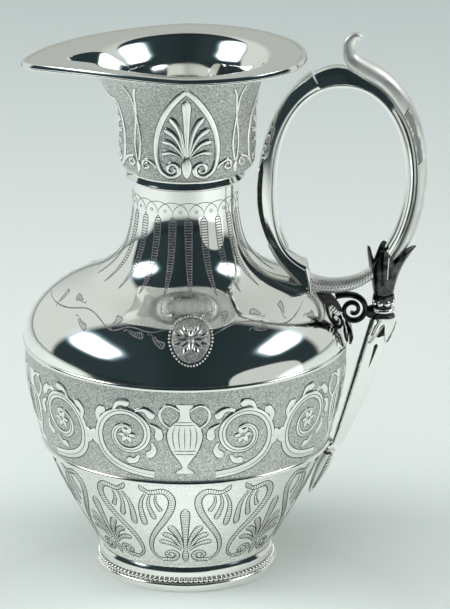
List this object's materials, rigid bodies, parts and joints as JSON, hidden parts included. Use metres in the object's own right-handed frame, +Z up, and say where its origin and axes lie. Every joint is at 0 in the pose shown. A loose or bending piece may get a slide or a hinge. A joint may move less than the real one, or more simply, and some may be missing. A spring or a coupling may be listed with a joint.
{
  "type": "cream jug",
  "caption": "Silver cream jug: ring foot, tapering bowl, broad frieze band, domed shoulder, slim neck, flared mouth with a pointed spout, and a leaf loop handle braced by a strut.",
  "frame": {"origin": "on the jug's axis, in the plane that the foot stands on", "axes": "+Z up along the jug's axis, +X towards the handle, -X towards the spout"},
  "size_m": [0.1255, 0.1016, 0.1725],
  "materials": {
    "polished_silver": "mirror polish",
    "satin_silver": "soft satin with engraved ornament",
    "stippled_silver": "darkened stipple behind bright ornament"
  },
  "bodies": {
    "root": {"foot_ring": "polished_silver", "foot_bead_wire": "polished_silver", "foot_cove": "polished_silver", "lower_bowl": "satin_silver", "lower_band_moulding": "polished_silver", "frieze_band": "stippled_silver", "upper_band_moulding": "polished_silver", "shoulder_and_neck": "polished_silver", "neck_ring": "polished_silver", "mouthpiece": "stippled_silver", "rim_wire": "polished_silver", "handle_sheath": "polished_silver", "handle_bow": "polished_silver", "handle_leaf": "satin_silver", "handle_stem": "satin_silver", "knop_upper_leaves": "polished_silver", "knop_beads": "polished_silver", "knop_lower_leaves": "polished_silver", "strut": "polished_silver", "strut_knob": "polished_silver", "strut_leaf": "satin_silver", "scroll_bracket": "polished_silver", "handle_root": "satin_silver", "root_leaf_drop": "satin_silver"}
  },
  "joints": []
}
